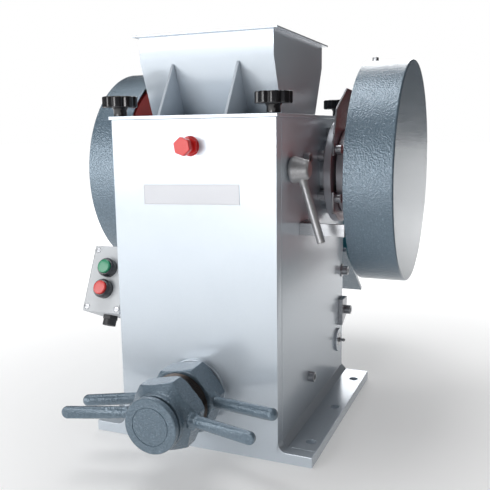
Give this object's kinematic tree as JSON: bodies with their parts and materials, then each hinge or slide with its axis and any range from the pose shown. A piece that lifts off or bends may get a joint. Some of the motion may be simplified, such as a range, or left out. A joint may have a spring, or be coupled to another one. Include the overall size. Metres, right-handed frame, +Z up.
{
  "type": "laboratory jaw crusher",
  "caption": "Bench jaw crusher with a feed hopper, guarded flywheels on an eccentric shaft, a rear motor with belt drive and a front screw that sets the gap.",
  "frame": {"origin": "centre of the base bolt pattern, on the underside of the base", "axes": "+X to the operator's right along the shaft, +Y to the rear, +Z up"},
  "size_m": [0.49, 0.7272, 0.598],
  "materials": {
    "body_paint": "gloss",
    "hammer_paint": "hammered",
    "wheel_red": "gloss",
    "machined_steel": "satin",
    "zinc_steel": "zinc plated",
    "bearing_grey": "satin",
    "jaw_casting": "painted",
    "jaw_steel": "rough",
    "thread_dark": "oiled",
    "spring_steel": "oiled",
    "motor_teal": "satin",
    "pulley_iron": "bare",
    "belt_rubber": "matte",
    "box_grey": "fine texture",
    "ring_dark": "gloss",
    "gland_dark": "matte",
    "button_green": "gloss",
    "button_red": "gloss",
    "knob_black": "satin",
    "plug_red": "gloss",
    "plate_silver": "satin"
  },
  "bodies": {
    "frame": {"base_plate": "body_paint", "front_plate": "body_paint", "side_plate_right": "body_paint", "side_plate_left": "body_paint", "rear_plate": "body_paint", "toggle_beam": "body_paint", "cheek_plates": "jaw_steel", "cover_plate": "body_paint", "hopper": "body_paint", "bearing_housings": "bearing_grey", "main_bearings": "machined_steel", "bearing_covers": "bearing_grey", "guard_plate": "zinc_steel", "flywheel_guard": "hammer_paint", "belt_guard": "hammer_paint", "guard_brackets": "zinc_steel", "side_lugs": "zinc_steel", "socket_screws": "zinc_steel", "name_plate": "plate_silver", "breather_plug": "plug_red", "screw_bush": "body_paint", "hinge_pins": "machined_steel", "grease_nipples": "zinc_steel", "tension_spring": "spring_steel", "motor_bracket": "hammer_paint", "motor_housing": "motor_teal", "motor_end_shields": "motor_teal", "motor_fan_cover": "motor_teal", "motor_terminal_box": "motor_teal", "drive_belts": "belt_rubber", "control_box": "box_grey", "control_box_lid": "box_grey", "lid_screws": "zinc_steel", "button_rings": "ring_dark", "cable_gland": "gland_dark", "control_box_bracket": "body_paint"},
    "main_shaft": {"eccentric_shaft": "machined_steel", "flywheel_right": "wheel_red", "flywheel_left": "wheel_red", "shaft_keys": "machined_steel"},
    "motor_rotor": {"motor_shaft": "machined_steel", "motor_pulley": "pulley_iron"},
    "swing_jaw": {"swing_jaw": "jaw_casting", "swing_jaw_plate": "jaw_steel", "swing_jaw_bearings": "machined_steel", "tension_rod": "zinc_steel"},
    "toggle": {"toggle_link": "jaw_casting"},
    "fixed_jaw": {"fixed_jaw": "jaw_casting", "fixed_jaw_plate": "jaw_steel"},
    "thrust_pad": {"thrust_pad": "machined_steel"},
    "adjusting_screw": {"adjusting_screw": "thread_dark", "front_nut": "hammer_paint"},
    "lock_nut": {"lock_nut": "hammer_paint"},
    "clamp_lever": {"clamp_lever": "zinc_steel"},
    "knob_front_right": {"knob_front_right": "knob_black"},
    "knob_front_left": {"knob_front_left": "knob_black"},
    "knob_rear_right": {"knob_rear_right": "knob_black"},
    "knob_rear_left": {"knob_rear_left": "knob_black"},
    "start_button": {"start_button": "button_green"},
    "stop_button": {"stop_button": "button_red"}
  },
  "joints": [
    {"name": "main_shaft_turn", "type": "hinge", "parent": "frame", "child": "main_shaft", "pos_m": [0, 0.074, 0.393], "axis": [1, 0, 0], "continuous": true},
    {"name": "motor_turn", "type": "hinge", "parent": "frame", "child": "motor_rotor", "pos_m": [0, 0.308, 0.266], "axis": [1, 0, 0], "continuous": true},
    {"name": "swing_jaw_orbit", "type": "hinge", "parent": "main_shaft", "child": "swing_jaw", "pos_m": [0, 0.078, 0.393], "axis": [1, 0, 0], "continuous": true, "deforming": ["tension_spring"]},
    {"name": "toggle_tilt", "type": "hinge", "parent": "frame", "child": "toggle", "pos_m": [0, 0.144, 0.083], "axis": [1, 0, 0], "range_deg": [-1.9, 1.9]},
    {"name": "gap_slide", "type": "slide", "parent": "frame", "child": "thrust_pad", "axis": [0, 1, 0], "range_m": [-0.0101, 0.0016]},
    {"name": "screw_turn", "type": "hinge", "parent": "thrust_pad", "child": "adjusting_screw", "pos_m": [0, -0.25, 0.091], "axis": [0, 1, 0], "range_deg": [-900, 135]},
    {"name": "fixed_jaw_tilt", "type": "hinge", "parent": "frame", "child": "fixed_jaw", "pos_m": [0, -0.123, 0.407], "axis": [1, 0, 0], "range_deg": [-1.9, 0.3]},
    {"name": "lock_nut_turn", "type": "hinge", "parent": "frame", "child": "lock_nut", "pos_m": [0, -0.21, 0.091], "axis": [0, 1, 0], "range_deg": [-150, 0]},
    {"name": "clamp_lever_turn", "type": "hinge", "parent": "frame", "child": "clamp_lever", "pos_m": [0.135, -0.123, 0.407], "axis": [1, 0, 0], "range_deg": [-90, 8]},
    {"name": "knob_front_right_turn", "type": "hinge", "parent": "frame", "child": "knob_front_right", "pos_m": [0.117, -0.167, 0.5], "axis": [0, 0, 1], "continuous": true},
    {"name": "knob_front_left_turn", "type": "hinge", "parent": "frame", "child": "knob_front_left", "pos_m": [-0.117, -0.167, 0.5], "axis": [0, 0, 1], "continuous": true},
    {"name": "knob_rear_right_turn", "type": "hinge", "parent": "frame", "child": "knob_rear_right", "pos_m": [0.117, 0.165, 0.5], "axis": [0, 0, 1], "continuous": true},
    {"name": "knob_rear_left_turn", "type": "hinge", "parent": "frame", "child": "knob_rear_left", "pos_m": [-0.117, 0.165, 0.5], "axis": [0, 0, 1], "continuous": true},
    {"name": "start_button_press", "type": "slide", "parent": "frame", "child": "start_button", "axis": [0, 0.9063, -0.4226], "range_m": [0, 0.003], "stiffness_N_per_m": 600},
    {"name": "stop_button_press", "type": "slide", "parent": "frame", "child": "stop_button", "axis": [0, 0.9063, -0.4226], "range_m": [0, 0.003], "stiffness_N_per_m": 600}
  ],
  "couplings": [
    {"joint": "motor_turn", "follows": "main_shaft_turn", "ratio": 3.9333},
    {"joint": "swing_jaw_orbit", "follows": "main_shaft_turn", "ratio": -1},
    {"joint": "gap_slide", "follows": "screw_turn", "m_per_rad": 0.00063662},
    {"joint": "fixed_jaw_tilt", "follows": "screw_turn", "ratio": 0.0020146}
  ]
}
